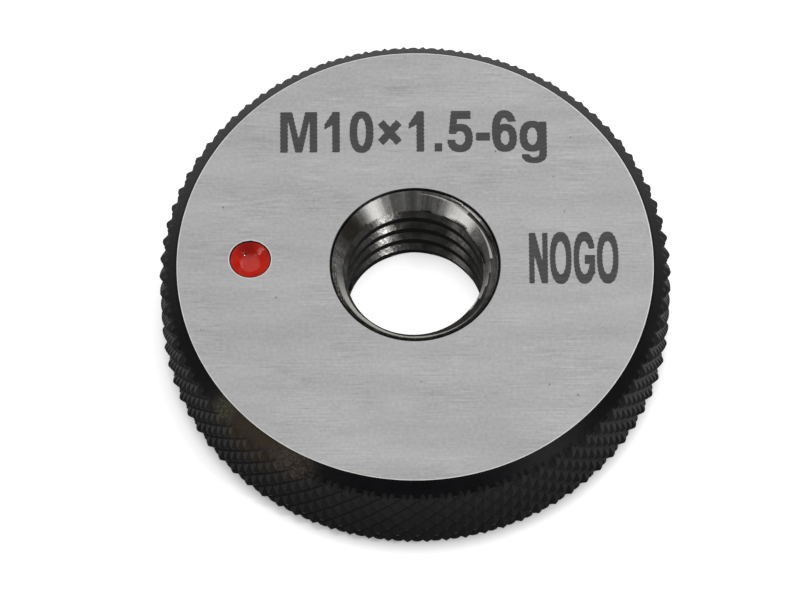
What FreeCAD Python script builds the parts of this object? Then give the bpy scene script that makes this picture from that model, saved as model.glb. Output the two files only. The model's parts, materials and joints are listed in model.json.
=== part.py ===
import FreeCAD, Part
import Sketcher
import math
import os
from FreeCAD import Vector

# Thread ring gauge for an external M10 x 1.5 thread, no-go side.
# The frame: the origin is the bore's centre on the bottom face, +Z is the bore's
# axis out of the marked face, +X points to the no-go mark. All sizes are in mm.

doc = FreeCAD.newDocument("thread_ring_gauge")
sheet = doc.addObject("Spreadsheet::Sheet", "dims")

SIZES = [
    ("outer_diameter", 32.0, "over the knurl's tips"),
    ("thickness", 8.0, "between the two ground faces"),
    ("rim_chamfer", 1.1, "45 degree chamfer on both rims"),
    ("mouth_diameter", 10.6, "countersink at both ends of the bore"),
    ("thread_pitch", 1.5, "lead of the single-start right-hand thread"),
    ("pitch_diameter", 8.862, "no-go pitch diameter for tolerance 6g"),
    ("crest_truncation", 0.1, "crest height above the pitch line, in pitches"),
    ("flank_angle", 60.0, "included angle of the thread"),
    ("relief_width", 0.4, "width of the clearance at the thread's root"),
    ("relief_diameter", 10.14, "bottom of that clearance"),
    ("thread_rise", 0.1, "height of a groove's middle at angle zero"),
    ("cutter_reach", 0.28, "how far the cutter stands inside the crests"),
    ("knurl_teeth", 82, "ridges of one hand round the rim"),
    ("knurl_angle", 35.0, "angle of the ridges to the axis"),
    ("knurl_depth", 0.4, "depth of the knurl"),
    ("knurl_turn", 0.0, "turn of the whole knurl, in degrees"),
    ("marker_inset", 5.7, "from the knurl's tips in to the marker dimple's middle"),
    ("marker_y", 0.45, "middle of the marker dimple"),
    ("marker_diameter", 2.6, "mouth of the marker dimple"),
    ("marker_depth", 1.3, "depth of its drilled point"),
    ("lacquer_level", 0.62, "depth of the lacquer's flat pool"),
    ("lacquer_coat", 0.07, "thickness of the coat on the dimple's wall"),
    ("lacquer_gap", 0.04, "bare rim above the coat"),
    ("margin", 1.0, "how far cutting tools stand clear of the part"),
]

for row, (alias, value, note) in enumerate(SIZES, start=1):
    sheet.set("A%d" % row, alias)
    sheet.set("B%d" % row, str(value))
    sheet.set("C%d" % row, note)
    sheet.setAlias("B%d" % row, alias)

# Sizes that follow from the ones above.
DERIVED = [
    ("outer_radius", "outer_diameter / 2"),
    ("mouth_radius", "mouth_diameter / 2"),
    ("pitch_radius", "pitch_diameter / 2"),
    ("minor_radius", "pitch_radius - crest_truncation * thread_pitch"),
    ("mouth_depth", "mouth_radius - minor_radius"),
    ("flank_slope", "tan(flank_angle / 2 * 1deg)"),
    ("cutter_radius", "minor_radius - cutter_reach"),
    ("cutter_half_width", "thread_pitch / 4 + (pitch_radius - cutter_radius) * flank_slope"),
    ("relief_half_width", "relief_width / 2"),
    ("relief_start", "pitch_radius + (thread_pitch / 4 - relief_half_width) / flank_slope"),
    ("relief_radius", "relief_diameter / 2"),
    ("cutter_start", "thread_rise - thread_pitch"),
    ("cutter_height", "thickness + 2 * thread_pitch"),
    ("knurl_columns", "2 * knurl_teeth"),
    ("marker_x", "marker_inset - outer_radius"),
    ("marker_radius", "marker_diameter / 2"),
    ("marker_slope", "marker_radius / marker_depth"),
]

first = len(SIZES) + 2
for row, (alias, formula) in enumerate(DERIVED, start=first):
    sheet.set("A%d" % row, alias)
    sheet.set("B%d" % row, "=" + formula)
    sheet.setAlias("B%d" % row, alias)

doc.recompute()


def size(alias):
    """The number that a cell of the sheet holds."""
    value = sheet.get(alias)
    return float(getattr(value, "Value", value))


def plane_of(body, role):
    """The body's own origin plane with the given role."""
    for feature in body.Origin.OriginFeatures:
        if feature.Role == role:
            return feature
    raise ValueError("the body has no plane " + role)


def outline(body, name, corners):
    """A closed outline in the body's XZ plane.

    Each corner is a pair of expressions: the distance from the sketch's vertical
    axis and the height over its horizontal axis. "0" puts the corner on the axis.
    """
    sketch = body.newObject("Sketcher::SketchObject", name)
    sketch.AttachmentSupport = [(plane_of(body, "XZ_Plane"), "")]
    sketch.MapMode = "FlatFace"
    points = []
    for across, up in corners:
        points.append(Vector(evaluate(across), evaluate(up), 0))
    count = len(points)
    for i in range(count):
        sketch.addGeometry(Part.LineSegment(points[i], points[(i + 1) % count]), False)
    for i in range(count):
        sketch.addConstraint(Sketcher.Constraint("Coincident", i, 2, (i + 1) % count, 1))
    for i, (across, up) in enumerate(corners):
        if across == "0":
            sketch.addConstraint(Sketcher.Constraint("PointOnObject", i, 1, -2))
        else:
            index = sketch.addConstraint(
                Sketcher.Constraint("DistanceX", -1, 1, i, 1, points[i].x))
            sketch.setExpression("Constraints[%d]" % index, tied(across))
        if up == "0":
            sketch.addConstraint(Sketcher.Constraint("PointOnObject", i, 1, -1))
        else:
            index = sketch.addConstraint(
                Sketcher.Constraint("DistanceY", -1, 1, i, 1, points[i].y))
            sketch.setExpression("Constraints[%d]" % index, tied(up))
    return sketch


ALIASES = [alias for alias, _, _ in SIZES] + [alias for alias, _ in DERIVED]


def tied(text):
    """The expression with each alias pointing at the sheet."""
    words = text.split(" ")
    return " ".join("dims." + word if word in ALIASES else word for word in words)


def evaluate(text):
    """The value of such an expression, for the sketch's first drawing."""
    value = sheet.evalExpression(" ".join(text.split(" ")))
    return float(getattr(value, "Value", value))


# The turned ring: disc, bore with both countersinks, thread, marker dimple.
# The disc stands proud of the knurl's tips, because the rim is cut to shape below.
ring = doc.addObject("PartDesign::Body", "turned_ring")

disc_outline = outline(ring, "disc_outline", [
    ("0", "0"),
    ("outer_radius + margin", "0"),
    ("outer_radius + margin", "thickness"),
    ("0", "thickness"),
])
disc = ring.newObject("PartDesign::Revolution", "disc")
disc.Profile = disc_outline
disc.ReferenceAxis = (disc_outline, ["V_Axis"])
disc.Angle = 360
disc.Refine = False
ring.Tip = disc
doc.recompute()

# The bore is cut in two half turns, so each thread crest is a chain of half-turn strips.
bore_outline = outline(ring, "bore_outline", [
    ("0", "0 - margin"),
    ("mouth_radius + margin", "0 - margin"),
    ("minor_radius", "mouth_depth"),
    ("minor_radius", "thickness - mouth_depth"),
    ("mouth_radius + margin", "thickness + margin"),
    ("0", "thickness + margin"),
])
bore = ring.newObject("PartDesign::Groove", "bore")
bore.Profile = bore_outline
bore.ReferenceAxis = (bore_outline, ["V_Axis"])
bore.Angle = 180
bore.Refine = False
ring.Tip = bore
doc.recompute()

bore_halves = ring.newObject("PartDesign::PolarPattern", "bore_halves")
bore_halves.Originals = [bore]
bore_halves.Axis = (bore_outline, ["V_Axis"])
bore_halves.Angle = 360
bore_halves.Refine = False
ring.Tip = bore_halves
bore_halves.Occurrences = 2
doc.recompute()

# The no-go thread: flanks shortened to the pitch line's neighbourhood by wide crests,
# and a parallel-sided clearance behind them.
groove_outline = outline(ring, "groove_outline", [
    ("cutter_radius", "cutter_start - cutter_half_width"),
    ("relief_start", "cutter_start - relief_half_width"),
    ("relief_radius", "cutter_start - relief_half_width"),
    ("relief_radius", "cutter_start + relief_half_width"),
    ("relief_start", "cutter_start + relief_half_width"),
    ("cutter_radius", "cutter_start + cutter_half_width"),
])
doc.recompute()
before_thread = ring.Shape.Volume
thread = ring.newObject("PartDesign::SubtractiveHelix", "thread")
thread.Profile = groove_outline
thread.ReferenceAxis = (groove_outline, ["V_Axis"])
thread.Mode = 0
thread.Pitch = size("thread_pitch")
thread.setExpression("Pitch", "dims.thread_pitch")
thread.Height = size("cutter_height")
thread.setExpression("Height", "dims.cutter_height")
thread.Angle = 0
thread.Growth = 0
thread.LeftHanded = False
thread.Reversed = False
thread.Refine = False
ring.Tip = thread
doc.recompute()
after_thread = ring.Shape.Volume
print("thread takes", round(before_thread - after_thread, 3), "mm3")

# The marker dimple, a drilled point in the marked face.
dimple_outline = outline(ring, "dimple_outline", [
    ("0", "thickness - marker_depth"),
    ("marker_radius + margin * marker_slope", "thickness + margin"),
    ("0", "thickness + margin"),
])
dimple_outline.setExpression("AttachmentOffset.Base.x", "dims.marker_x")
dimple_outline.setExpression("AttachmentOffset.Base.z", "-dims.marker_y")
dimple = ring.newObject("PartDesign::Groove", "dimple")
dimple.Profile = dimple_outline
dimple.ReferenceAxis = (dimple_outline, ["V_Axis"])
dimple.Angle = 360
dimple.Refine = False
ring.Tip = dimple
doc.recompute()
print("dimple takes", round(after_thread - ring.Shape.Volume, 3), "mm3")


def knurl_solid():
    """A plug with a crossed knurl on its outside, as a solid of flat triangles.

    The knurl's two hands of ridges cross on a grid of 2 n columns round the rim and
    rows that are half a ridge's axial pitch apart. Points of the grid whose column
    and row add up to an odd number are tips, on the outer radius. The others are
    crossings of the grooves, one knurl depth further in. A groove joins each pair
    of neighbouring crossings, so every tip is a four-sided pyramid.
    """
    teeth = int(round(size("knurl_teeth")))
    tip_radius = size("outer_radius")
    depth = size("knurl_depth")
    step = math.pi / teeth
    row_height = step * tip_radius / math.tan(math.radians(size("knurl_angle")))
    middle = size("thickness") / 2
    reach = int(math.ceil(middle / row_height)) + 1
    columns = 2 * teeth
    rows = list(range(-reach, reach + 1))
    points = []
    for j in rows:
        for i in range(columns):
            radius = tip_radius if (i + j) % 2 else tip_radius - depth
            angle = i * step
            points.append(Vector(radius * math.cos(angle), radius * math.sin(angle),
                                 middle + j * row_height))
    facets = []
    for k in range(len(rows) - 1):
        for i in range(columns):
            n = (i + 1) % columns
            a = k * columns + i
            b = k * columns + n
            c = (k + 1) * columns + n
            d = (k + 1) * columns + i
            if (i + rows[k]) % 2:
                facets.append((a, b, d))
                facets.append((b, c, d))
            else:
                facets.append((a, b, c))
                facets.append((a, c, d))
    low = len(points)
    points.append(Vector(0, 0, middle + rows[0] * row_height))
    points.append(Vector(0, 0, middle + rows[-1] * row_height))
    top = (len(rows) - 1) * columns
    for i in range(columns):
        n = (i + 1) % columns
        facets.append((low, n, i))
        facets.append((low + 1, top + i, top + n))
    shell = Part.Shape()
    shell.makeShapeFromMesh((points, facets), 0.001)
    return Part.makeSolid(shell)


# No sketch feature makes a knurl whose two hands cross all round in one step, so its
# solid comes from the formula above.
knurl = doc.addObject("Part::Feature", "knurl")
knurl.Shape = knurl_solid()

# The rims' chamfers have one flat for each of the knurl's columns, so they meet the
# knurl's facets in straight edges. The flats lie within 0.003 mm of a true cone.
CHAMFER_RINGS = [
    ("outer_radius - rim_chamfer - margin", "0 - margin"),
    ("outer_radius + margin", "rim_chamfer + margin"),
    ("outer_radius + margin", "thickness - rim_chamfer - margin"),
    ("outer_radius - rim_chamfer - margin", "thickness + margin"),
]
chamfer_rings = []
for number, (across, up) in enumerate(CHAMFER_RINGS, start=1):
    polygon = doc.addObject("Part::RegularPolygon", "chamfer_ring_%d" % number)
    polygon.setExpression("Polygon", tied("knurl_columns"))
    polygon.setExpression("Circumradius", tied(across))
    polygon.setExpression("Placement.Base.z", tied(up))
    chamfer_rings.append(polygon)
chamfers = doc.addObject("Part::Loft", "chamfers")
chamfers.Sections = chamfer_rings
chamfers.Solid = True
chamfers.Ruled = True

knurled_rim = doc.addObject("Part::Common", "knurled_rim")
knurled_rim.Base = knurl
knurled_rim.Tool = chamfers
knurled_rim.Refine = False
knurled_rim.setExpression("Placement.Rotation.Angle", "dims.knurl_turn * 1deg")

gauge_ring = doc.addObject("Part::Common", "gauge_ring")
gauge_ring.Base = ring
gauge_ring.Tool = knurled_rim
gauge_ring.Refine = False
gauge_ring.Label = "gauge_ring"

# The lacquer: a pool in the dimple's point and a thin coat up its wall.
lacquer = doc.addObject("PartDesign::Body", "red_lacquer")
lacquer.Label = "red_lacquer"
lacquer_outline = outline(lacquer, "lacquer_outline", [
    ("0", "0 - marker_depth"),
    ("marker_radius - lacquer_gap * marker_slope", "0 - lacquer_gap"),
    ("marker_radius - lacquer_gap * marker_slope - lacquer_coat", "0 - lacquer_gap"),
    ("marker_radius - lacquer_level * marker_slope - lacquer_coat", "0 - lacquer_level"),
    ("0", "0 - lacquer_level"),
])
fill = lacquer.newObject("PartDesign::Revolution", "fill")
fill.Profile = lacquer_outline
fill.ReferenceAxis = (lacquer_outline, ["V_Axis"])
fill.Angle = 360
fill.Refine = False
lacquer.Tip = fill
lacquer.setExpression("Placement.Base.x", "dims.marker_x")
lacquer.setExpression("Placement.Base.y", "dims.marker_y")
lacquer.setExpression("Placement.Base.z", "dims.thickness")

doc.recompute()

for item in doc.Objects:
    if "Invalid" in item.State or "Error" in item.State:
        raise RuntimeError("%s is in state %s" % (item.Name, item.State))
    shape = getattr(item, "Shape", None)
    if shape is not None and item.TypeId.startswith(("Part::", "PartDesign::")):
        if shape.isNull() or not shape.isValid():
            raise RuntimeError("%s has no valid shape" % item.Name)

os.makedirs("parts", exist_ok=True)
for node in (gauge_ring, lacquer):
    shape = node.Shape
    box = shape.BoundBox
    print(node.Label, "solids", len(shape.Solids), "faces", len(shape.Faces),
          "volume", round(shape.Volume, 3),
          "box", [round(v, 3) for v in (box.XMin, box.XMax, box.YMin, box.YMax,
                                        box.ZMin, box.ZMax)])
    shape.exportStep(os.path.join("parts", node.Label + ".step"))
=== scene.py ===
"""Looks of a thread ring gauge: a ground, knurled and blackened steel ring with a
threaded bore, a red marker dimple and laser-blackened marks."""

import json
import math

import bpy
import numpy as np
from mathutils import Matrix, Vector


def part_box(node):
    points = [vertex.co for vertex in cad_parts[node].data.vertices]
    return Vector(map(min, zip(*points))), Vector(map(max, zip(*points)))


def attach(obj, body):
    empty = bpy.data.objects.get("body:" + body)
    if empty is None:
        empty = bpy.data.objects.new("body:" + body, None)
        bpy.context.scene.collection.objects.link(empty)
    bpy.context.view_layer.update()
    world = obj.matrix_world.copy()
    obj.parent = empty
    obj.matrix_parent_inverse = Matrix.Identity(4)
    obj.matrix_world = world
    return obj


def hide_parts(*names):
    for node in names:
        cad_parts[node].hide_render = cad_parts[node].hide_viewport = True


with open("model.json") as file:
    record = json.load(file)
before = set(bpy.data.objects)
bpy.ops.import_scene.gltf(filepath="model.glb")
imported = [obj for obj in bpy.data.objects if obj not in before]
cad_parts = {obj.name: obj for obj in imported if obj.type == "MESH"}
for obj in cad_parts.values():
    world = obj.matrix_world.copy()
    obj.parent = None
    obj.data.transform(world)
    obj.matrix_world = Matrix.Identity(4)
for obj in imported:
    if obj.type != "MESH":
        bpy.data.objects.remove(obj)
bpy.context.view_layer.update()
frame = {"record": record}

# Sizes are in millimetres, angles in degrees. MM turns a size to Blender's metres.
MM = 0.001

# The frame gives the outside of the ring and the thread's minor radius.
ring_low, ring_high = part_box("gauge_ring")
TIP_RADIUS = round((ring_high.x - ring_low.x) / 2 / MM, 2)
THICKNESS = round(ring_high.z / MM, 2)
MINOR_RADIUS = next(m for m in frame["record"]["mounts"] if m["name"] == "thread")["dims"]["r_mm"]

# Ring: chamfers, knurl and edge breaks. The stoned line is a narrow ring between an edge
# break and the face, and a guard ring beside it keeps the face's shading flat.
RIM_CHAMFER = 1.1
FACE_RADIUS = TIP_RADIUS - RIM_CHAMFER
MOUTH_RADIUS = 5.3
EDGE_ON_SIDE = 0.04
BREAK_ON_FACE = 0.05
LINE_OUTSIDE = 0.01
LINE_INSIDE = 0.065
LINE_DROP = 0.004
FLAT_GUARD = 0.03
KNURL_TEETH = 82
KNURL_ANGLE = 35.0
KNURL_DEPTH = 0.4
KNURL_BLUNT = 0.42
# Half the angle between two ridges of a hand, and the height in which they move by it.
KNURL_STEP = math.pi / KNURL_TEETH
KNURL_ROW = KNURL_STEP * TIP_RADIUS / math.tan(math.radians(KNURL_ANGLE))
# The knurl's grid, in rows above and below the middle and in cells a row, and the
# heights of the grid's further rows on the lower chamfer.
KNURL_HALF_ROWS = 4
CELLS_A_STEP = 5
CHAMFER_ROWS = (0.2, 0.36)

# Thread: no-go profile of a 1.5 mm right-hand thread.
THREAD_PITCH = 1.5
PITCH_RADIUS = 4.431
RELIEF_HALF_WIDTH = 0.2
RELIEF_RADIUS = 5.07
THREAD_RISE = 0.1
FLANK_SLOPE = math.tan(math.radians(30.0))

# Marker dimple and its lacquer: the pool's depth below the face, the coat on the dimple's
# wall, the bare wall above it, the coat's rounded lip, and the curve from coat to pool.
MARKER = np.array([-10.3, 0.45])
MARKER_RADIUS = 1.3
MARKER_DEPTH = 1.3
LACQUER_LEVEL = 0.62
LACQUER_COAT = 0.07
LACQUER_GAP = 0.07
LIP_INWARD = 0.02
LIP_RISE = 0.01
LIP_FALL = 0.03
MENISCUS = 0.16
MENISCUS_START = 0.9 * MENISCUS
MENISCUS_POINTS = 7
LACQUER_COLUMNS = 96

# Points closer than WELD are one point, and lengths below NEARLY count as none.
WELD = 1e-4
NEARLY = 1e-6


class Shell:
    """Points and faces of one closed skin, gathered part by part and then welded."""

    def __init__(self):
        self.points = []
        self.faces = []
        self.zones = []
        self.count = 0

    def add(self, points, faces, zone):
        """Adds points and the faces between them, all of one material zone."""
        self.points.append(points)
        self.faces.append(np.where(faces < 0, -1, faces + self.count))
        self.zones.append(np.broadcast_to(zone, len(faces)).astype(int))
        self.count += len(points)

    def welded(self):
        """Joins points that round to the same tenth of a micron, and renumbers the faces."""
        points = np.concatenate(self.points)
        faces = np.concatenate(self.faces)
        zones = np.concatenate(self.zones)
        keys = np.round(points / WELD).astype(np.int64)
        _, first, same = np.unique(keys, axis=0, return_index=True, return_inverse=True)
        points = points[first]
        faces = np.where(faces < 0, -1, same.reshape(-1)[faces])
        return points, faces, zones


def sides_of(faces):
    """Each face's corners in order, the corner after each of them, and each face's count.

    Faces are rows of point numbers with -1 for an unused place. A corner that repeats
    the one after it is left out, and so is a face with fewer than three corners.
    """
    used = (faces >= 0) & (faces != np.roll(faces, -1, axis=1))
    whole = used.sum(1) >= 3
    corners = faces[whole][used[whole]]
    totals = used[whole].sum(1)
    starts = np.cumsum(totals) - totals
    following = np.arange(1, len(corners) + 1)
    following[starts + totals - 1] = starts
    return corners, corners[following], totals, whole


def mesh_object(name, points, faces, zones, materials, sharp):
    """A Blender object from points in millimetres and faces, with a material a zone.

    It is shaded smooth, apart from edges that turn by more than the angle sharp.
    """
    corners, _, totals, whole = sides_of(faces)
    used, renumbered = np.unique(corners, return_inverse=True)
    mesh = bpy.data.meshes.new(name)
    mesh.vertices.add(len(used))
    mesh.vertices.foreach_set("co", (points[used] * MM).astype(np.float32).ravel())
    mesh.loops.add(len(corners))
    mesh.loops.foreach_set("vertex_index", renumbered.reshape(-1).astype(np.int32))
    mesh.polygons.add(len(totals))
    mesh.polygons.foreach_set("loop_start", (np.cumsum(totals) - totals).astype(np.int32))
    mesh.polygons.foreach_set("loop_total", totals.astype(np.int32))
    mesh.polygons.foreach_set("material_index", zones[whole].astype(np.int32))
    for material in materials:
        mesh.materials.append(material)
    mesh.update(calc_edges=True)
    mesh.validate()
    mesh.shade_smooth()
    mesh.set_sharp_from_angle(angle=math.radians(sharp))
    piece = bpy.data.objects.new(name, mesh)
    bpy.context.scene.collection.objects.link(piece)
    return piece


def polar(radius, angle, height):
    """Points from cylinder coordinates: X is the radius times the angle's cosine, Y is
    the radius times its sine, and Z is the height."""
    radius, angle, height = np.broadcast_arrays(radius, angle, height)
    return np.stack([radius * np.cos(angle), radius * np.sin(angle), height], -1)


def quads(rows, columns, closed=True):
    """Faces of a grid of rows of points, which are numbered row by row.

    Each face has a point, the next in its row, and the two beyond them in the next row.
    Closed joins the last column to the first.
    """
    row = np.arange(rows - 1)[:, None]
    column = np.arange(columns if closed else columns - 1)[None, :]
    following = (column + 1) % columns
    a = row * columns + column
    b = row * columns + following
    c = (row + 1) * columns + following
    d = (row + 1) * columns + column
    return np.stack([a, b, c, d], -1).reshape(-1, 4)


# Zones of the ring's skin, in the order of its materials.
GROUND, BLACKENED, EDGE, MOUTH, THREAD, CREST, DIMPLE = range(7)

RIM_COLUMNS = 2 * KNURL_TEETH * CELLS_A_STEP
BORE_COLUMNS = RIM_COLUMNS // 2


def knurl_radius(angle, height):
    """Radius of the knurl at an angle and height.

    Two families of grooves climb left and right at the knurl's angle. Each family's
    distance from its nearest groove runs from 1 in the groove to 0 on the ridge, and
    the larger of the two, times the depth, is taken from the tip radius. The tips are
    rounded off by a root of a sum of squares, as the tool leaves them.
    """
    across = angle / KNURL_STEP
    along = (height - THICKNESS / 2) / KNURL_ROW
    ridge = []
    for hand in (1, -1):
        cycle = (across + hand * along) / 2
        ridge.append(np.abs(cycle - np.floor(cycle) - 0.5) * 2)
    deep = np.maximum(ridge[0], ridge[1])
    rounded = np.sqrt(deep ** 2 + KNURL_BLUNT ** 2) - KNURL_BLUNT
    deepest = math.sqrt(1 + KNURL_BLUNT ** 2) - KNURL_BLUNT
    return TIP_RADIUS - KNURL_DEPTH * (rounded / deepest)


def rim(shell):
    """The outside, from the bottom edge break up to the top one.

    The radius at each point is the smallest of the knurl's and the two chamfers'.
    """
    reach = KNURL_HALF_ROWS * CELLS_A_STEP
    cells = np.arange(-reach, reach + 1)
    knurled = THICKNESS / 2 + cells * KNURL_ROW / CELLS_A_STEP
    low = np.array([EDGE_ON_SIDE, *CHAMFER_ROWS])
    height = np.concatenate([low, knurled, (THICKNESS - low)[::-1]])[:, None]
    angle = (np.arange(RIM_COLUMNS) * 2 * math.pi / RIM_COLUMNS)[None, :]
    lower = FACE_RADIUS + height
    upper = FACE_RADIUS + THICKNESS - height
    radius = np.minimum(knurl_radius(angle, height), np.minimum(lower, upper))
    shell.add(polar(radius, angle, height).reshape(-1, 3),
              quads(len(height), RIM_COLUMNS), BLACKENED)


def ring_of(radius, height, columns):
    """One circle of points, evenly spaced in angle from the X axis."""
    return polar(radius, np.arange(columns) * 2 * math.pi / columns, height)


def strip(shell, circles, zone):
    """Faces between circles of points that all have the same number of columns."""
    columns = len(circles[0])
    shell.add(np.concatenate(circles), quads(len(circles), columns), zone)


def halving_strip(shell, outer, inner, upward, zone):
    """Triangles from a circle of 2 n points in to one of n points.

    Every second outer point stands at an inner one's angle. The quad between two inner
    points is cut in three from them to the outer point halfway.
    """
    n = len(inner)
    i = np.arange(n)
    a, b, c = 2 * i, 2 * i + 1, (2 * i + 2) % (2 * n)
    p, q = 2 * n + i, 2 * n + (i + 1) % n
    faces = np.concatenate([np.stack([a, b, p], -1), np.stack([b, q, p], -1),
                            np.stack([b, c, q], -1)])
    if not upward:
        faces = faces[:, ::-1]
    faces = np.concatenate([faces, np.full((len(faces), 1), -1)], 1)
    shell.add(np.concatenate([outer, inner]), faces, zone)


# Circles of the upper face: one outside the marker's window, the window's own and one
# inside it. Between the two halving circles, every second point is dropped.
OUTSIDE_WINDOW = 13.6
WINDOW_RADII = (12.2, 11.6, 11.0, 10.4, 9.8, 9.2, 8.6)
INSIDE_WINDOW = 7.4
HALVING_OUTER = 6.2
HALVING_INNER = 5.8
WINDOW_COLUMNS = 24
# The marker's patch: how far in its circles lie, as shares of the way to the dimple.
PATCH_SHARES = (0.35, 0.65, 0.96, 1.0)
DIMPLE_DEPTHS = (EDGE_ON_SIDE, 0.3, 0.8, MARKER_DEPTH)


def face_plane(shell, upward):
    """A ground face between the edge breaks of the rim and of the bore's mouth.

    It is made of circles with falling radii, joined by strips. On the upper face the
    strips leave out a window of columns, which the marker's patch fills.
    """
    height = THICKNESS if upward else 0.0
    inward = THICKNESS - EDGE_ON_SIDE if upward else EDGE_ON_SIDE
    dropped = THICKNESS - LINE_DROP if upward else LINE_DROP
    rim_break = [ring_of(FACE_RADIUS + EDGE_ON_SIDE, inward, RIM_COLUMNS),
                 ring_of(FACE_RADIUS - LINE_OUTSIDE, dropped, RIM_COLUMNS)]
    rim_line = [rim_break[1], ring_of(FACE_RADIUS - LINE_INSIDE, height, RIM_COLUMNS)]
    between = [OUTSIDE_WINDOW, *WINDOW_RADII, INSIDE_WINDOW] if upward else []
    radii = [FACE_RADIUS - LINE_INSIDE, FACE_RADIUS - LINE_INSIDE - FLAT_GUARD, *between,
             HALVING_OUTER]
    flat = [ring_of(radius, height, RIM_COLUMNS) for radius in radii]
    inner = [ring_of(HALVING_INNER, height, BORE_COLUMNS),
             ring_of(MOUTH_RADIUS + BREAK_ON_FACE + FLAT_GUARD, height, BORE_COLUMNS),
             ring_of(MOUTH_RADIUS + BREAK_ON_FACE, height, BORE_COLUMNS)]
    mouth_break = [inner[-1], ring_of(MOUTH_RADIUS - EDGE_ON_SIDE, inward, BORE_COLUMNS)]
    halving_strip(shell, flat[-1], inner[0], upward, GROUND)
    if upward:
        strip(shell, rim_break, BLACKENED)
        strip(shell, rim_line, EDGE)
        strip(shell, mouth_break, BLACKENED)
        strip(shell, inner, GROUND)
        faces = quads(len(flat), RIM_COLUMNS)
        column = faces[:, 0] % RIM_COLUMNS
        row = faces[:, 0] // RIM_COLUMNS
        first = radii.index(WINDOW_RADII[0])
        middle = RIM_COLUMNS // 2
        in_window = ((row >= first) & (row < first + len(WINDOW_RADII) - 1)
                     & (column >= middle - WINDOW_COLUMNS)
                     & (column < middle + WINDOW_COLUMNS))
        shell.add(np.concatenate(flat), faces[~in_window], GROUND)
        marker_patch(shell)
    else:
        strip(shell, rim_break[::-1], BLACKENED)
        strip(shell, rim_line[::-1], EDGE)
        strip(shell, mouth_break[::-1], BLACKENED)
        strip(shell, inner[::-1], GROUND)
        strip(shell, flat[::-1], GROUND)


def marker_patch(shell):
    """The face around the marker dimple, and the dimple.

    The patch's outer loop runs round the window in the face's circles. Each of its
    points moves straight in to the dimple's mouth, and then down the cone.
    """
    middle = RIM_COLUMNS // 2
    low, high = middle - WINDOW_COLUMNS, middle + WINDOW_COLUMNS
    columns = np.arange(low, high + 1)
    step = 2 * math.pi / RIM_COLUMNS
    outer, inner = WINDOW_RADII[0], WINDOW_RADII[-1]
    between = np.array(WINDOW_RADII[1:-1])
    loop = np.concatenate([
        polar(outer, columns * step, THICKNESS),
        polar(between, high * step, THICKNESS),
        polar(inner, columns[::-1] * step, THICKNESS),
        polar(between[::-1], low * step, THICKNESS),
    ])
    away = loop[:, :2] - MARKER
    bearing = np.arctan2(away[:, 1], away[:, 0])
    around = np.stack([np.cos(bearing), np.sin(bearing)], -1)
    mouth = MARKER_RADIUS + LINE_INSIDE
    circles = [loop]
    for share in PATCH_SHARES:
        spot = MARKER + away * (1 - share) + around * mouth * share
        circles.append(np.column_stack([spot, np.full(len(loop), THICKNESS)]))
    shell.add(np.concatenate(circles), quads(len(circles), len(loop)), GROUND)
    slope = MARKER_RADIUS / MARKER_DEPTH
    line = [circles[-1], np.column_stack([MARKER + around * (MARKER_RADIUS + LINE_OUTSIDE),
                                          np.full(len(loop), THICKNESS - LINE_DROP)])]
    shell.add(np.concatenate(line), quads(2, len(loop)), EDGE)
    wall = [line[-1]]
    for depth in DIMPLE_DEPTHS:
        spot = MARKER + around * (MARKER_DEPTH - depth) * slope
        wall.append(np.column_stack([spot, np.full(len(loop), THICKNESS - depth)]))
    shell.add(np.concatenate(wall), quads(len(wall), len(loop)), DIMPLE)


def thread_profile():
    """One pitch of the bore's wall, as offsets along the axis and radii.

    It runs upward from the middle of one crest to the middle of the next: half a
    crest, a 30 degree flank, the wall, floor and wall of the clearance, a flank and
    half a crest.
    """
    crest_edge = THREAD_PITCH / 4 + (PITCH_RADIUS - MINOR_RADIUS) * FLANK_SLOPE
    flank_end = PITCH_RADIUS + (THREAD_PITCH / 4 - RELIEF_HALF_WIDTH) / FLANK_SLOPE
    corners = [(-THREAD_PITCH / 2, MINOR_RADIUS), (-crest_edge, MINOR_RADIUS),
               (-RELIEF_HALF_WIDTH, flank_end), (-RELIEF_HALF_WIDTH, RELIEF_RADIUS),
               (RELIEF_HALF_WIDTH, RELIEF_RADIUS), (RELIEF_HALF_WIDTH, flank_end),
               (crest_edge, MINOR_RADIUS), (THREAD_PITCH / 2, MINOR_RADIUS)]
    pieces = (2, 4, 2, 2, 2, 4, 2)
    profile = []
    for (a, b), n in zip(zip(corners[:-1], corners[1:]), pieces):
        share = np.arange(n)[:, None] / n
        profile.append(np.array(a) * (1 - share) + np.array(b) * share)
    return np.concatenate(profile)


SPARE_TURNS = 2


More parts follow.
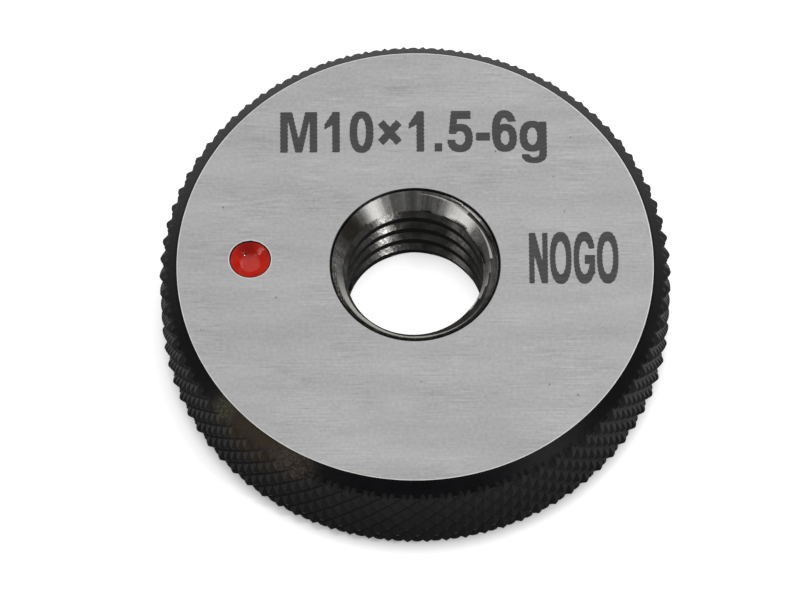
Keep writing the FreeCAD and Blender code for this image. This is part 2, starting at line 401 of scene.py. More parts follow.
def bore(shell):
    """The threaded bore with its countersinks, from the top edge break down.

    The thread's profile is carried round a right-hand helix: its height grows by one
    pitch a turn. A countersink's radius is the mouth's, less the depth below the face.
    Where it is wider than the thread, it takes over, so the radius is the larger of the
    two, and heights past an edge break stay on it.
    """
    profile = thread_profile()
    last = int(math.ceil(THICKNESS / THREAD_PITCH)) + SPARE_TURNS
    along, radius = [], []
    for turn in range(-SPARE_TURNS, last + 1):
        along.append(profile[:, 0] + THREAD_RISE + turn * THREAD_PITCH)
        radius.append(profile[:, 1])
    along = np.concatenate(along)[::-1]
    radius = np.concatenate(radius)[::-1]
    past = THREAD_PITCH / 4
    useful = (along < THICKNESS + past) & (along > -THREAD_PITCH - past)
    along, radius = along[useful][:, None], radius[useful][:, None]
    angle = (np.arange(BORE_COLUMNS + 1) * 2 * math.pi / BORE_COLUMNS)[None, :]
    height = along + THREAD_PITCH * angle / (2 * math.pi)
    height = np.clip(height, EDGE_ON_SIDE, THICKNESS - EDGE_ON_SIDE)
    cone = np.maximum(MOUTH_RADIUS - (THICKNESS - height), MOUTH_RADIUS - height)
    crest = np.broadcast_to(radius < MINOR_RADIUS + NEARLY, cone.shape)
    on_cone = cone >= radius
    radius = np.maximum(cone, radius)
    wrapped = angle % (2 * math.pi)
    rows, columns = height.shape
    faces = quads(rows, columns, closed=False)
    zone = np.where(crest.reshape(-1)[faces].all(1), CREST, THREAD)
    zone = np.where(on_cone.reshape(-1)[faces].any(1), MOUTH, zone)
    shell.add(polar(radius, wrapped, height).reshape(-1, 3), faces, zone)


def linear(code):
    """Linear colour from an sRGB hex code.

    A channel up to 0.04045 is divided by 12.92. From a larger one, 0.055 more of it,
    divided by 1.055, is raised to 2.4.
    """
    channels = []
    for i in (0, 2, 4):
        value = int(code[i:i + 2], 16) / 255
        channels.append(value / 12.92 if value <= 0.04045 else ((value + 0.055) / 1.055) ** 2.4)
    return (*channels, 1.0)


def grey(level):
    """A linear grey as a colour."""
    return (level, level, level, 1.0)


def material(name):
    """An empty node material and its Principled shader."""
    made = bpy.data.materials.new(name)
    made.use_nodes = True
    return made, made.node_tree.nodes["Principled BSDF"]


def node(made, kind, settings=(), **inputs):
    """Adds a node, sets its attributes and its inputs, and links inputs that are outputs.

    An input's name has spaces as underscores; in0, in1 and so on give it by position.
    """
    tree = made.node_tree
    new = tree.nodes.new(kind)
    for key, value in dict(settings).items():
        setattr(new, key, value)
    for key, value in inputs.items():
        if key[:2] == "in" and key[2:].isdigit():
            socket = new.inputs[int(key[2:])]
        else:
            socket = new.inputs[key.replace("_", " ")]
        if isinstance(value, bpy.types.NodeSocket):
            tree.links.new(value, socket)
        else:
            socket.default_value = value
    return new


def link(made, output, shader, name):
    """Links an output to one of the shader's sockets."""
    made.node_tree.links.new(output, shader.inputs[name])


def ramp(made, factor, stops):
    """A colour ramp over a factor; stops are (position, colour or grey)."""
    new = node(made, "ShaderNodeValToRGB", Fac=factor)
    elements = new.color_ramp.elements
    while len(elements) < len(stops):
        elements.new(0.5)
    for element, (position, colour) in zip(elements, stops):
        element.position = position
        element.color = colour if isinstance(colour, tuple) else grey(colour)
    return new.outputs["Color"]


def ground_steel():
    """Hardened tool steel, surface ground: straight fine scratches along X, satin grey.

    The grinding lines are about 2 mm long and 0.13 mm apart, coarser than the real grit
    so that they show. They fade in calm patches some 3 mm wide. Broad cloudy bands and a
    few small pits break them up.
    """
    made, shader = material("ground_tool_steel")
    place = node(made, "ShaderNodeTexCoord").outputs["Object"]
    streaks = node(made, "ShaderNodeMapping", Vector=place, Scale=(0.55 / MM, 8.0 / MM, 1.0 / MM))
    fine = node(made, "ShaderNodeTexNoise", Vector=streaks.outputs[0],
                Scale=1.0, Detail=2.0, Roughness=0.6)
    broad = node(made, "ShaderNodeMapping", Vector=place, Scale=(0.10 / MM, 0.5 / MM, 1.0 / MM))
    bands = node(made, "ShaderNodeTexNoise", Vector=broad.outputs[0],
                 Scale=1.0, Detail=2.0, Roughness=0.5)
    calm = node(made, "ShaderNodeTexNoise", Vector=place, Scale=0.35 / MM, Detail=2.0)
    strength = ramp(made, calm.outputs["Fac"], [(0.42, 0.25), (0.6, 1.0)])
    lines = node(made, "ShaderNodeMix", {"data_type": "FLOAT"}, Factor=strength, in2=0.5,
                 in3=fine.outputs["Fac"])
    mixed = node(made, "ShaderNodeMix", {"data_type": "FLOAT"}, Factor=0.4,
                 in2=lines.outputs[0], in3=bands.outputs["Fac"])
    grit = node(made, "ShaderNodeTexNoise", Vector=place, Scale=4.5 / MM, Detail=2.0)
    grained = node(made, "ShaderNodeMix", {"data_type": "FLOAT"}, Factor=0.25,
                   in2=mixed.outputs[0], in3=grit.outputs["Fac"])
    tone = ramp(made, grained.outputs[0], [(0.3, linear("ababab")), (0.7, linear("d9d9d9"))])
    pits = node(made, "ShaderNodeTexVoronoi", Vector=place, Scale=0.55 / MM, Randomness=1.0)
    seen_pits = ramp(made, pits.outputs["Distance"], [(0.02, 1.0), (0.05, 0.0)])
    spotted = node(made, "ShaderNodeMix", {"data_type": "RGBA"}, in0=seen_pits, in6=tone,
                   in7=linear("8c8c8c"))
    link(made, spotted.outputs[2], shader, "Base Color")
    rough = ramp(made, lines.outputs[0], [(0.3, 0.44), (0.7, 0.38)])
    link(made, rough, shader, "Roughness")
    bump = node(made, "ShaderNodeBump", Strength=0.15, Distance=0.003 * MM,
                Height=lines.outputs[0])
    link(made, bump.outputs[0], shader, "Normal")
    shader.inputs["Metallic"].default_value = 1.0
    return made


# Where handling has stained the blackening: a tarnished stretch of the upper chamfer, and
# two dusty patches in it. Each is a place and how far it reaches, in mm, and a patch has
# its colour too.
TARNISH = ((-10.3, -11.4, 7.6), 4.4)
DUST = (((-12.0, -9.7, 7.6), 1.2, "5c5c4a"), ((-7.7, -13.4, 7.4), 2.1, "5a4f46"))
# A stretch of the countersink painted darker, a painted shade, and a dark ragged line
# along the edge: its width down the cone and how far noise shifts that, in mm.
MOUTH_PAINTED_SHADE = ((-3.95, 2.65, 7.5), 1.8)
MOUTH_LINE = 0.07
MOUTH_LINE_RAGGED = 0.06
MOUTH_LINE_SOFT = 0.02
# Where the countersink is dull and painted pale, a painted sheen, low down on the -Y
# side: from no effect to all of it, along Y and in depth below the face, and its
# roughness there.
DULL_AND_PAINTED_SHEEN_ALONG_Y = (0.5, -2.2)
DULL_AND_PAINTED_SHEEN_DEPTH = (0.3, 0.42)
DULL_ROUGHNESS = 0.9


def near(made, place, spot, reach):
    """1 up to a quarter of the reach from a spot, falling smoothly to 0 at the reach."""
    centre = tuple(c * MM for c in spot)
    away = node(made, "ShaderNodeVectorMath", {"operation": "DISTANCE"}, in0=place, in1=centre)
    return node(made, "ShaderNodeMapRange", {"interpolation_type": "SMOOTHSTEP"},
                Value=away.outputs["Value"], From_Min=0.25 * reach * MM, From_Max=reach * MM,
                To_Min=1.0, To_Max=0.0).outputs[0]


def product(made, a, b):
    """Two factors multiplied."""
    return node(made, "ShaderNodeMath", {"operation": "MULTIPLY"}, in0=a, in1=b).outputs[0]


def blend(made, factor, below, above):
    """A mix of two colours."""
    return node(made, "ShaderNodeMix", {"data_type": "RGBA"}, in0=factor, in6=below,
                in7=above).outputs[2]


def black_oxide():
    """Steel with a hot black oxide finish: a thin black layer, satin and a little blue.

    It is tarnished to olive brown in one stretch, with pale dust in two patches. The
    grain of its gloss is about 0.15 mm wide, coarser than the real one so that it shows.
    """
    made, shader = material("black_oxide_steel")
    place = node(made, "ShaderNodeTexCoord").outputs["Object"]
    cloud = node(made, "ShaderNodeTexNoise", Vector=place, Scale=0.45 / MM, Detail=4.0)
    tone = ramp(made, cloud.outputs["Fac"], [(0.35, linear("070709")), (0.7, linear("121216"))])
    tone = blend(made, near(made, place, *TARNISH), tone, linear("2e2410"))
    specks = node(made, "ShaderNodeTexNoise", Vector=place, Scale=6.0 / MM, Detail=4.0,
                  Roughness=0.7)
    dusty = ramp(made, specks.outputs["Fac"], [(0.42, 0.08), (0.68, 1.0)])
    for spot, reach, colour in DUST:
        tone = blend(made, product(made, near(made, place, spot, reach), dusty), tone,
                     linear(colour))
    link(made, tone, shader, "Base Color")
    grain = node(made, "ShaderNodeTexNoise", Vector=place, Scale=7.0 / MM, Detail=3.0)
    rough = ramp(made, grain.outputs["Fac"], [(0.3, 0.3), (0.7, 0.42)])
    link(made, rough, shader, "Roughness")
    bump = node(made, "ShaderNodeBump", Strength=0.4, Distance=0.01 * MM,
                Height=grain.outputs["Fac"])
    link(made, bump.outputs[0], shader, "Normal")
    shader.inputs["Metallic"].default_value = 0.1
    shader.inputs["Specular IOR Level"].default_value = 0.22
    return made


def blackened_crest():
    """Crests of the thread, which lapping leaves black: dull oxide, almost without shine."""
    made, shader = material("black_oxide_crest")
    place = node(made, "ShaderNodeTexCoord").outputs["Object"]
    cloud = node(made, "ShaderNodeTexNoise", Vector=place, Scale=1.5 / MM, Detail=3.0)
    tone = ramp(made, cloud.outputs["Fac"], [(0.35, linear("0b0b0c")), (0.7, linear("171616"))])
    link(made, tone, shader, "Base Color")
    shader.inputs["Roughness"].default_value = 0.5
    shader.inputs["Specular IOR Level"].default_value = 0.1
    return made


def bright_edge():
    """Bare steel where a stone broke the sharp edge: narrow and bright, a little cloudy."""
    made, shader = material("stoned_edge_steel")
    place = node(made, "ShaderNodeTexCoord").outputs["Object"]
    wear = node(made, "ShaderNodeTexNoise", Vector=place, Scale=1.6 / MM, Detail=3.0)
    tone = ramp(made, wear.outputs["Fac"], [(0.3, linear("dededc")), (0.7, linear("fafaf8"))])
    link(made, tone, shader, "Base Color")
    shader.inputs["Metallic"].default_value = 1.0
    shader.inputs["Roughness"].default_value = 0.3
    return made


def turned_mouth():
    """Countersink turned in hardened steel: satin, with chatter lines down the cone.

    The lines are a noise of the angle about the bore, nine a radian or 0.5 to 0.6 mm
    apart, so they run from edge to edge. One stretch is painted darker, a painted shade,
    a dark ragged line runs along the edge, and low down on one side the cone is dull
    and painted pale, a painted sheen.
    """
    made, shader = material("turned_tool_steel")
    place = node(made, "ShaderNodeTexCoord").outputs["Object"]
    parts = node(made, "ShaderNodeSeparateXYZ", Vector=place).outputs
    angle = node(made, "ShaderNodeMath", {"operation": "ARCTAN2"}, in0=parts["Y"], in1=parts["X"])
    chatter = node(made, "ShaderNodeTexNoise", {"noise_dimensions": "1D"},
                   W=angle.outputs[0], Scale=9.0, Detail=3.0, Roughness=0.6)
    cloud = node(made, "ShaderNodeTexNoise", Vector=place, Scale=4.0 / MM, Detail=4.0)
    mixed = node(made, "ShaderNodeMix", {"data_type": "FLOAT"}, Factor=0.35,
                 in2=chatter.outputs["Fac"], in3=cloud.outputs["Fac"])
    tone = ramp(made, mixed.outputs[0], [(0.35, linear("a3a29e")), (0.65, linear("c4c3c1"))])
    # Painted shade: one stretch of the countersink is painted darker.
    tone = blend(made, near(made, place, *MOUTH_PAINTED_SHADE), tone, linear("625e56"))
    front = node(made, "ShaderNodeMapRange", Value=parts["Y"],
                 From_Min=DULL_AND_PAINTED_SHEEN_ALONG_Y[0] * MM, From_Max=DULL_AND_PAINTED_SHEEN_ALONG_Y[1] * MM)
    low = node(made, "ShaderNodeMapRange", Value=parts["Z"],
               From_Min=(THICKNESS - DULL_AND_PAINTED_SHEEN_DEPTH[0]) * MM,
               From_Max=(THICKNESS - DULL_AND_PAINTED_SHEEN_DEPTH[1]) * MM)
    dull = product(made, front.outputs[0], low.outputs[0])
    # Painted sheen: low down on the -Y side the cone is painted pale; it is also made rough
    # below.
    tone = blend(made, dull, tone, linear("e6e5e0"))
    ragged = node(made, "ShaderNodeMath", {"operation": "MULTIPLY_ADD"}, in0=cloud.outputs["Fac"],
                  in1=MOUTH_LINE_RAGGED * MM, in2=parts["Z"])
    line = node(made, "ShaderNodeMapRange", Value=ragged.outputs[0],
                From_Min=(THICKNESS - MOUTH_LINE - MOUTH_LINE_SOFT) * MM,
                From_Max=(THICKNESS - MOUTH_LINE + MOUTH_LINE_SOFT) * MM)
    tone = blend(made, line.outputs[0], tone, linear("0d0d0d"))
    link(made, tone, shader, "Base Color")
    rough = ramp(made, mixed.outputs[0], [(0.35, 0.23), (0.65, 0.31)])
    link(made, blend(made, dull, rough, grey(DULL_ROUGHNESS)), shader, "Roughness")
    bump = node(made, "ShaderNodeBump", Strength=0.5, Distance=0.0018 * MM,
                Height=mixed.outputs[0])
    link(made, bump.outputs[0], shader, "Normal")
    shader.inputs["Metallic"].default_value = 1.0
    return made


def thread_steel():
    """Lapped thread flanks: dark oily steel with bright scuffs, about 0.2 mm wide."""
    made, shader = material("lapped_thread_steel")
    place = node(made, "ShaderNodeTexCoord").outputs["Object"]
    cloud = node(made, "ShaderNodeTexNoise", Vector=place, Scale=1.2 / MM, Detail=4.0)
    tone = ramp(made, cloud.outputs["Fac"], [(0.3, linear("363534")), (0.7, linear("5f5e5c"))])
    link(made, tone, shader, "Base Color")
    grain = node(made, "ShaderNodeTexNoise", Vector=place, Scale=5.0 / MM, Detail=3.0)
    rough = ramp(made, grain.outputs["Fac"], [(0.3, 0.12), (0.7, 0.3)])
    link(made, rough, shader, "Roughness")
    bump = node(made, "ShaderNodeBump", Strength=0.6, Distance=0.012 * MM,
                Height=grain.outputs["Fac"])
    link(made, bump.outputs[0], shader, "Normal")
    shader.inputs["Metallic"].default_value = 1.0
    return made


# Painted shade and light on the lacquer: the upper wall painted darker, a painted shade,
# and the lower right painted brighter, a painted highlight: place, reach and colour.
LACQUER_PAINTED_SHADE_AND_LIGHT = (((-10.5, 1.35, 7.7), 0.95, "a41a0e"), ((-9.35, 0.05, 7.6), 0.9, "ee3520"))


def red_enamel():
    """Nitrocellulose marking lacquer: deep red, wet gloss, slightly uneven."""
    made, shader = material("red_marking_lacquer")
    place = node(made, "ShaderNodeTexCoord").outputs["Object"]
    cloud = node(made, "ShaderNodeTexNoise", Vector=place, Scale=2.0 / MM, Detail=2.0)
    tone = ramp(made, cloud.outputs["Fac"], [(0.3, linear("d0210f")), (0.7, linear("e22e1a"))])
    # Painted shade on the upper wall and a painted highlight on the lower right.
    for spot, reach, colour in LACQUER_PAINTED_SHADE_AND_LIGHT:
        tone = blend(made, near(made, place, spot, reach), tone, linear(colour))
    link(made, tone, shader, "Base Color")
    uneven = node(made, "ShaderNodeTexNoise", Vector=place, Scale=1.8 / MM, Detail=2.0)
    bump = node(made, "ShaderNodeBump", Strength=0.6, Distance=0.05 * MM,
                Height=uneven.outputs["Fac"])
    link(made, bump.outputs[0], shader, "Normal")
    shader.inputs["Roughness"].default_value = 0.1
    shader.inputs["IOR"].default_value = 1.48
    shader.inputs["Specular IOR Level"].default_value = 0.35
    shader.inputs["Coat Weight"].default_value = 0.4
    shader.inputs["Coat Roughness"].default_value = 0.03
    return made


def laser_black():
    """Laser-blackened mark: dull dark grey, with grinding lines 0.11 mm apart in it."""
    made, shader = material("laser_mark")
    place = node(made, "ShaderNodeTexCoord").outputs["Object"]
    streaks = node(made, "ShaderNodeMapping", Vector=place, Scale=(0.6 / MM, 9.0 / MM, 1.0 / MM))
    fine = node(made, "ShaderNodeTexNoise", Vector=streaks.outputs[0], Scale=1.0, Detail=3.0)
    tone = ramp(made, fine.outputs["Fac"], [(0.3, linear("484849")), (0.7, linear("5c5c5d"))])
    link(made, tone, shader, "Base Color")
    shader.inputs["Roughness"].default_value = 0.6
    shader.inputs["Metallic"].default_value = 0.2
    return made


def ring_piece():
    """The steel ring, in one closed skin."""
    shell = Shell()
    rim(shell)
    face_plane(shell, True)
    face_plane(shell, False)
    bore(shell)
    points, faces, zones = shell.welded()
    blackened = black_oxide()
    materials = [ground_steel(), blackened, bright_edge(), turned_mouth(),
                 thread_steel(), blackened_crest(), blackened]
    piece = mesh_object("gauge_ring_body", points, faces, zones, materials, sharp=28.0)
    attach(piece, "root")
    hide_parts("gauge_ring")


def lacquer_piece():
    """The lacquer, turned about the dimple's axis: coat, meniscus and flat pool.

    The profile goes from the dimple's point up its wall, over the lip and down the coat.
    The meniscus is a curve of the second degree: (1 - t) squared times its start, plus
    2 t (1 - t) times the corner of coat and pool, plus t squared times its end.
    """
    slope = MARKER_RADIUS / MARKER_DEPTH
    top = MARKER_RADIUS - LACQUER_GAP * slope
    pool = MARKER_RADIUS - LACQUER_LEVEL * slope - LACQUER_COAT
    profile = [(0.0, -MARKER_DEPTH), (top, -LACQUER_GAP),
               (top - LIP_INWARD, -LACQUER_GAP + LIP_RISE),
               (top - LACQUER_COAT, -LACQUER_GAP - LIP_FALL)]
    start = np.array([pool + MENISCUS_START, -LACQUER_LEVEL + MENISCUS_START])
    corner = np.array([pool, -LACQUER_LEVEL])
    flat = np.array([pool - MENISCUS, -LACQUER_LEVEL])
    share = np.linspace(0, 1, MENISCUS_POINTS)[:, None]
    meniscus = (1 - share) ** 2 * start + 2 * share * (1 - share) * corner + share ** 2 * flat
    profile = np.concatenate([profile, meniscus, [(0.0, -LACQUER_LEVEL)]])
    angle = np.arange(LACQUER_COLUMNS) * 2 * math.pi / LACQUER_COLUMNS
    points = polar(profile[:, 0][:, None], angle[None, :], profile[:, 1][:, None]).reshape(-1, 3)
    points[:, :2] += MARKER
    points[:, 2] += THICKNESS
    shell = Shell()
    shell.add(points, quads(len(profile), LACQUER_COLUMNS), 0)
    points, faces, zones = shell.welded()
    piece = mesh_object("lacquer_fill", points, faces, zones, [red_enamel()], sharp=60.0)
    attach(piece, "root")
    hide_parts("red_lacquer")


# Letters. A glyph is drawn in a space where capitals are 1 high and a stroke is STROKE
# wide. Its function gives less than 0 inside the strokes and more than 0 outside.
STROKE = 0.19
OUTER_SQUARENESS = 2.4
INNER_SQUARENESS = 2.1


def oval(x, y, middle, reach, squareness):
    """An oval; squareness 2 is an ellipse, and more of it makes the sides flatter.

    The field is the n-th root of |x / a| to the n plus |y / b| to the n, less 1, times
    the smaller of a and b.
    """
    across = np.abs((x - middle[0]) / reach[0]) ** squareness
    along = np.abs((y - middle[1]) / reach[1]) ** squareness
    return ((across + along) ** (1 / squareness) - 1) * min(reach)


def bow(x, y, middle, reach, stroke=(STROKE, STROKE)):
    """A closed curved stroke: an oval with a smaller oval taken out."""
    inside = (reach[0] - stroke[0], reach[1] - stroke[1])
    return np.maximum(oval(x, y, middle, reach, OUTER_SQUARENESS),
                      -oval(x, y, middle, inside, INNER_SQUARENESS))


def plate(x, y, *corners):
    """A convex shape with straight sides, from its corners against the clock.

    The field is the largest of the distances from its sides, which count as less than 0
    on the inner side.
    """
    sides = []
    for (ax, ay), (bx, by) in zip(corners, corners[1:] + corners[:1]):
        length = math.hypot(bx - ax, by - ay)
        sides.append(((x - ax) * (by - ay) - (y - ay) * (bx - ax)) / length)
    return np.max(sides, axis=0)


def block(x, y, left, low, right, high):
    """An upright rectangle."""
    return plate(x, y, (left, low), (right, low), (right, high), (left, high))


def either(*fields):
    """All the shapes together: the least of their fields."""
    return np.min(fields, axis=0)


def without(field, *cuts):
    """A shape less others: the larger of its field and the negative of the others' least."""
    return np.maximum(field, -np.min(cuts, axis=0))


def glyph_m(x, y):
    """Two posts and two slanting strokes that meet between them."""
    left = plate(x, y, (0.375, 0.0), (0.54, 0.0), (0.30, 1.0), (0.145, 1.0))
    right = plate(x, y, (0.385, 0.0), (0.55, 0.0), (0.78, 1.0), (0.625, 1.0))
    return either(block(x, y, 0.0, 0.0, STROKE, 1.0), left, right,
                  block(x, y, 0.925 - STROKE, 0.0, 0.925, 1.0))


def glyph_n(x, y):
    """Two posts and a slanting stroke from the left one's top to the right one's foot."""
    return either(block(x, y, 0.0, 0.0, 0.185, 1.0), block(x, y, 0.465, 0.0, 0.65, 1.0),
                  plate(x, y, (0.43, 0.0), (0.65, 0.0), (0.22, 1.0), (0.0, 1.0)))


def glyph_o(x, y):
    """One wide bow."""
    return bow(x, y, (0.375, 0.5), (0.375, 0.515))


def glyph_g(x, y):
    """A bow with a gap on the right, and a bar and a short post that end in it."""
    ring = bow(x, y, (0.375, 0.5), (0.375, 0.515))
    gap = plate(x, y, (0.40, 0.45), (0.90, 0.30), (0.90, 0.70), (0.40, 0.66))
    return either(without(ring, gap), block(x, y, 0.565, 0.17, 0.74, 0.46),
                  block(x, y, 0.385, 0.375, 0.745, 0.555))


def glyph_one(x, y):
    """A post with a slanting flag at its top."""
    flag = plate(x, y, (0.0, 0.56), (0.22, 0.69), (0.22, 1.0), (0.0, 0.69))
    return either(block(x, y, 0.384 - STROKE, 0.0, 0.384, 1.0), flag)


def glyph_zero(x, y):
    """One narrow bow."""
    return bow(x, y, (0.298, 0.495), (0.298, 0.515), (STROKE, 0.175))


def glyph_times(x, y):
    """Two slanting strokes that cross halfway up."""
    arms = []
    for across, up in ((0.46, 0.50), (0.46, -0.50)):
        length = math.hypot(across, up)
        half = STROKE / 2
        side = (-up / length * half, across / length * half)
        low, high = (0.30 - across / 2, 0.48 - up / 2), (0.30 + across / 2, 0.48 + up / 2)
        arms.append(plate(x, y, (low[0] - side[0], low[1] - side[1]),
                          (high[0] - side[0], high[1] - side[1]),
                          (high[0] + side[0], high[1] + side[1]),
                          (low[0] + side[0], low[1] + side[1])))
    return either(*arms)


def glyph_point(x, y):
    """A small block on the base line."""
    return block(x, y, 0.0, 0.0, STROKE, 0.205)


def glyph_dash(x, y):
    """A short bar below half the height."""
    return block(x, y, 0.0, 0.26, 0.35, 0.46)


def glyph_five(x, y):
    """A bow that is open on the left, a leaning stem above it and a bar at the top."""
    bowl = without(bow(x, y, (0.32, 0.33), (0.32, 0.35), (STROKE, 0.18)),
                   block(x, y, -0.1, 0.29, 0.24, 0.45), block(x, y, -0.1, 0.44, 0.05, 0.8))
    stem = plate(x, y, (0.04, 0.43), (0.225, 0.43), (0.27, 1.0), (0.10, 1.0))
    return either(bowl, stem, block(x, y, 0.10, 0.80, 0.59, 1.0))


def glyph_six(x, y):
    """A tall bow that is open on the right, and a smaller closed bow in its foot."""
    back = without(bow(x, y, (0.31, 0.495), (0.31, 0.515)),
                   plate(x, y, (0.30, 0.0), (0.90, 0.0), (0.90, 0.75), (0.30, 0.71)))
    return either(back, bow(x, y, (0.325, 0.325), (0.297, 0.345), (STROKE, 0.17)))


def glyph_small_g(x, y):
    """A small bow, a post on its right and a hook below the base line."""
    bowl = bow(x, y, (0.315, 0.36), (0.315, 0.38), (STROKE, 0.165))
    stem = block(x, y, 0.677 - STROKE, -0.08, 0.677, 0.72)
    hook = without(bow(x, y, (0.36, -0.06), (0.317, 0.245), (STROKE, 0.145)),
                   block(x, y, -0.2, -0.08, 0.9, 0.5))
    return either(bowl, stem, hook)


# Each glyph's function, space before it, width and space after it.
GLYPHS = {
    "M": (glyph_m, 0.08, 0.925, 0.08),
    "N": (glyph_n, 0.08, 0.65, 0.04),
    "O": (glyph_o, 0.035, 0.75, 0.035),
    "G": (glyph_g, 0.04, 0.745, 0.03),
    "0": (glyph_zero, 0.08, 0.595, 0.06),
    "1": (glyph_one, 0.10, 0.384, 0.165),
    "5": (glyph_five, 0.06, 0.64, 0.04),
    "6": (glyph_six, 0.03, 0.62, 0.035),
    "g": (glyph_small_g, 0.035, 0.677, 0.04),
    "\u00d7": (glyph_times, 0.05, 0.602, 0.07),
    ".": (glyph_point, 0.095, 0.19, 0.065),
    "-": (glyph_dash, 0.04, 0.35, 0.02),
}
# The letters' grid: its cell and side margin in mm, and how far it reaches below the base
# line and up from it, as shares of a capital's height.
LETTER_CELL = 0.05
SIDE_MARGIN = 0.1
DESCENT = 0.34
HEADROOM = 1.06
MARK_TOP = 0.006
MARK_THICKNESS = 0.03
# Ragged edges: how far a line may be moved by each wave, in mm, the two waves' radians a
# mm, and the second one's start.
RAGGED = 0.018
RAGGED_WAVES = (23.0, 61.0)
RAGGED_START = 2.0
# Each mark's piece and letters, the start of its base line in X and Y, and the width and
# the capitals' height.
MARKS = [
    ("size_mark", "M10\u00d71.5-6g", (-8.41, 7.90), 16.75, 2.86),
    ("no_go_mark", "NOGO", (7.12, -1.40), 5.58, 3.53),
]


def word_field(words, x, y):
    """The field of a whole word, the least of its glyphs' fields, and the word's width."""
    start = -GLYPHS[words[0]][1]
    fields = []
    for letter in words:
        glyph, before, width, after = GLYPHS[letter]
        fields.append(glyph(x - start - before, y))
        start += before + width + after
    return np.min(fields, axis=0), start - after


def outlined(field, columns, rows):
    """Points and faces of the region where a field on a grid is below 0.

    Points are the grid's own, then the places where the field crosses 0 between
    neighbours in a row, and then those between rows, by straight-line interpolation.
    A cell's face runs round its inside corners and the crossings on its four sides.
    """
    x, y = np.meshgrid(columns, rows)
    inside = field < 0
    spots, numbers = [np.stack([x, y], -1).reshape(-1, 2)], []
    numbers.append(np.where(inside, np.arange(field.size).reshape(field.shape), -1))
    count = field.size
    for here, there in ((np.s_[:, :-1], np.s_[:, 1:]), (np.s_[:-1], np.s_[1:])):
        crossed = inside[here] != inside[there]
        gap = np.where(crossed, field[here] - field[there], 1.0)
        share = np.where(crossed, field[here] / gap, 0.0)
        spots.append(np.stack([x[here] + share * (x[there] - x[here]),
                               y[here] + share * (y[there] - y[here])], -1).reshape(-1, 2))
        ids = count + np.arange(crossed.size).reshape(crossed.shape)
        numbers.append(np.where(crossed, ids, -1))
        count += crossed.size
    corner, in_row, between = numbers
    faces = np.stack([corner[:-1, :-1], in_row[:-1], corner[:-1, 1:], between[:, 1:],
                      corner[1:, 1:], in_row[1:], corner[1:, :-1], between[:, :-1]], -1)
    faces = faces.reshape(-1, 8)
    return np.concatenate(spots), faces[(faces >= 0).sum(1) >= 3]


def mark(name, words, start, width, capital, paint):
    """A flat mark of plain bold letters that stands a few microns proud of the face.

    It is a closed plate that reaches a little into the face. The laser's lines run
    across and start a little unevenly, so upright edges are ragged: each line is moved
    by the sum of two sines of its height.
    """
    natural = word_field(words, np.zeros((1, 1)), np.zeros((1, 1)))[1]
    stretch = width / natural
    x = np.arange(-SIDE_MARGIN, width + SIDE_MARGIN + LETTER_CELL, LETTER_CELL)
    y = np.arange(-DESCENT * capital, HEADROOM * capital, LETTER_CELL)
    long_wave, short_wave = RAGGED_WAVES
    waves = np.sin(long_wave * y) + np.sin(short_wave * y + RAGGED_START)
    drift = RAGGED * waves[:, None]
    field, _ = word_field(words, (x[None, :] + drift) / stretch, y[:, None] / capital)
    field = np.where(np.abs(field) < NEARLY, NEARLY, field)
    spots, top = outlined(field, x + start[0], y + start[1])
    count = len(spots)
    upper = np.column_stack([spots, np.full(count, THICKNESS + MARK_TOP)])
    lower = upper - (0.0, 0.0, MARK_THICKNESS)
    corner, following, _, _ = sides_of(top)
    single = ~np.isin(corner * count + following, following * count + corner)
    corner, following = corner[single], following[single]
    wall = np.stack([following, corner, corner + count, following + count], -1)
    wall = np.concatenate([wall, np.full((len(wall), 4), -1)], 1)
    below = np.where(top < 0, -1, top + count)[:, ::-1]
    faces = np.concatenate([top, below, wall])
    piece = mesh_object(name, np.concatenate([upper, lower]), faces, np.zeros(len(faces)),
                        [paint], sharp=30.0)
    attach(piece, "root")


FLOOR_HALF = 400.0
FLOOR_GREY_TO_LIGHT = 0.42
FLOOR_GREY_SEEN = 0.95
# The floor's lift against the distance from the ring's axis, in mm: full under the bore,
# a painted light, and low close round the rim, a painted contact shadow.
FLOOR_LIFT_WITH_PAINTED_SHADOW = [(3.4, 0.92), (4.9, 0.64), (15.2, 0.16), (15.75, 0.42), (16.2, 0.63), (17.0, 0.74)]
FLOOR_LIFT_SPAN = 40.0
# The same for what shines in the ring: little close to it, more farther off.
FLOOR_GLOSSY_LIFT = [(20.0, 0.13), (36.0, 0.62)]


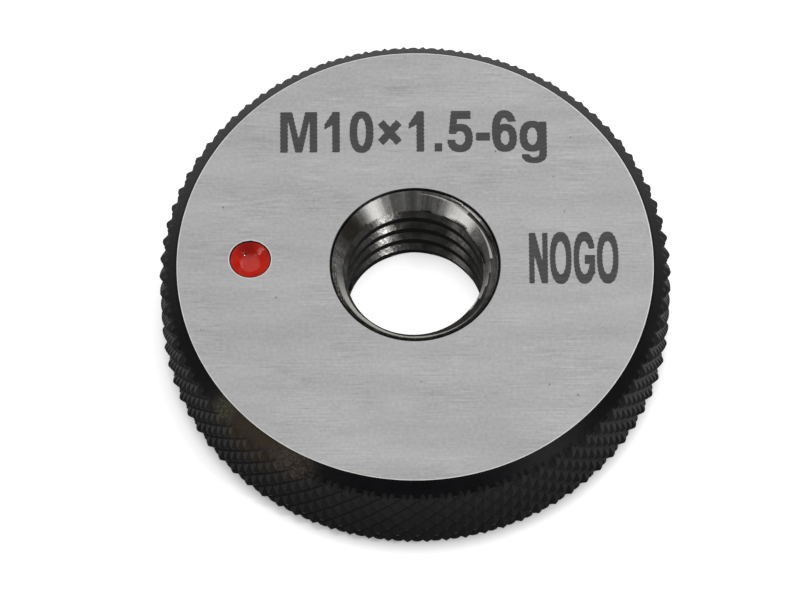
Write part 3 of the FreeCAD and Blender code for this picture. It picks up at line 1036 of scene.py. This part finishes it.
def floor():
    """A plain floor that shows white to the camera and keeps the ring's shadow.

    The camera sees it pale, and to other rays it is a mid grey. A weak glow for camera
    and transmitted rays, and a weaker one for glossy rays, lifts it to white. The glow is
    full under the bore, a painted light that makes the floor seen through it white, and
    weak close round the rim, a painted shadow that deepens the contact shadow.
    """
    half = FLOOR_HALF * MM
    mesh = bpy.data.meshes.new("floor")
    mesh.from_pydata([(-half, -half, 0), (half, -half, 0), (half, half, 0), (-half, half, 0)],
                     [], [(0, 1, 2, 3)])
    made, shader = material("white_floor")
    shader.inputs["Roughness"].default_value = 1.0
    shader.inputs["Specular IOR Level"].default_value = 0.0
    shader.inputs["Emission Color"].default_value = grey(1.0)
    place = node(made, "ShaderNodeTexCoord").outputs["Object"]
    distance = node(made, "ShaderNodeVectorMath", {"operation": "LENGTH"}, in0=place)
    share = node(made, "ShaderNodeMath", {"operation": "DIVIDE"},
                 in0=distance.outputs["Value"], in1=FLOOR_LIFT_SPAN * MM)
    # Painted light under the bore and a painted contact shadow close round the rim.
    glow = ramp(made, share.outputs[0], [(at / FLOOR_LIFT_SPAN, lift) for at, lift in FLOOR_LIFT_WITH_PAINTED_SHADOW])
    rays = node(made, "ShaderNodeLightPath")
    tone = blend(made, rays.outputs["Is Camera Ray"], grey(FLOOR_GREY_TO_LIGHT),
                 grey(FLOOR_GREY_SEEN))
    link(made, tone, shader, "Base Color")
    shine = ramp(made, share.outputs[0],
                 [(at / FLOOR_LIFT_SPAN, lift) for at, lift in FLOOR_GLOSSY_LIFT])
    seen = node(made, "ShaderNodeMath", {"operation": "MAXIMUM"},
                in0=rays.outputs["Is Camera Ray"], in1=rays.outputs["Is Transmission Ray"])
    lift = node(made, "ShaderNodeMath", {"operation": "ADD"},
                in0=product(made, seen.outputs[0], glow),
                in1=product(made, rays.outputs["Is Glossy Ray"], shine))
    link(made, lift.outputs[0], shader, "Emission Strength")
    mesh.materials.append(made)
    plane = bpy.data.objects.new("floor", mesh)
    bpy.context.scene.collection.objects.link(plane)


# The direction that the soft daylight comes from, and its level against the cosine of
# the angle to that direction.
DAYLIGHT = (0.0, 0.45, 0.89)
DAYLIGHT_LEVELS = [(0.0, 0.10), (0.3, 0.13), (0.6, 0.33), (0.85, 0.62), (1.0, 0.78)]

# Soft boxes: name, place, width and height, and watts. A large one stands behind on
# the right, and small ones in front give the bore and the knurl their glints.
SOFT_BOXES = [
    ("soft_box_behind", (180.0, 180.0, 260.0), (200.0, 200.0), 0.10),
    ("soft_box_low_right", (121.0, -115.0, 68.0), (44.0, 44.0), 0.0175),
    ("soft_box_low_left", (-139.0, -96.0, 63.0), (100.0, 40.0), 0.028),
    ("soft_box_high_right", (92.0, -73.0, 137.0), (22.0, 22.0), 0.055),
    ("soft_box_high_left", (-99.0, -65.0, 137.0), (50.0, 50.0), 0.009),
]


def studio():
    """Soft daylight from above and a little behind, and the soft boxes."""
    world = bpy.data.worlds.new("studio")
    world.use_nodes = True
    back = world.node_tree.nodes["Background"]
    direction = node(world, "ShaderNodeTexCoord").outputs["Generated"]
    facing = node(world, "ShaderNodeVectorMath", {"operation": "DOT_PRODUCT"},
                  in0=direction, in1=DAYLIGHT)
    shade = ramp(world, facing.outputs["Value"], DAYLIGHT_LEVELS)
    world.node_tree.links.new(shade, back.inputs["Color"])
    back.inputs["Strength"].default_value = 1.0
    bpy.context.scene.world = world

    for name, place, (width, height), watts in SOFT_BOXES:
        lamp = bpy.data.lights.new(name, "AREA")
        lamp.shape = "RECTANGLE"
        lamp.size = width * MM
        lamp.size_y = height * MM
        lamp.energy = watts
        box = bpy.data.objects.new(name, lamp)
        box.location = Vector(place) * MM
        box.rotation_mode = "QUATERNION"
        box.rotation_quaternion = (-box.location).to_track_quat("-Z", "Y")
        bpy.context.scene.collection.objects.link(box)


# The camera, fitted to the circles in the photo: a long lens, a little tilted.
CAMERA_ELEVATION = 63.74
CAMERA_ROLL = -0.45
CAMERA_DISTANCE = 554.9
CAMERA_SHIFT = (-0.958, -0.460)
CAMERA_CLIP = (10.0, 10000.0)
SENSOR_WIDTH = 36.0
FOCAL_PIXELS = 8832.8
PICTURE_WIDTH = 800


def camera():
    """Looks along +Y and down; its axes are right, up and back from the ring's middle."""
    elevation = math.radians(CAMERA_ELEVATION)
    roll = math.radians(CAMERA_ROLL)
    back = Vector((0, -math.cos(elevation), math.sin(elevation)))
    level_right = Vector((1, 0, 0))
    level_up = back.cross(level_right)
    right = level_right * math.cos(roll) + level_up * math.sin(roll)
    up = back.cross(right)
    data = bpy.data.cameras.new("camera")
    data.sensor_width = SENSOR_WIDTH
    data.lens = FOCAL_PIXELS * SENSOR_WIDTH / PICTURE_WIDTH
    data.clip_start = CAMERA_CLIP[0] * MM
    data.clip_end = CAMERA_CLIP[1] * MM
    eye = bpy.data.objects.new("camera", data)
    turn = Matrix((right, up, back)).transposed()
    middle = Vector((0, 0, THICKNESS / 2))
    place = middle + right * CAMERA_SHIFT[0] + up * CAMERA_SHIFT[1] + back * CAMERA_DISTANCE
    eye.matrix_world = Matrix.Translation(place * MM) @ turn.to_4x4()
    bpy.context.scene.collection.objects.link(eye)
    bpy.context.scene.camera = eye


ring_piece()
lacquer_piece()
paint = laser_black()
for name, words, start, width, capital in MARKS:
    mark(name, words, start, width, capital, paint)
floor()
studio()
camera()

bpy.context.scene.view_settings.view_transform = "Standard"
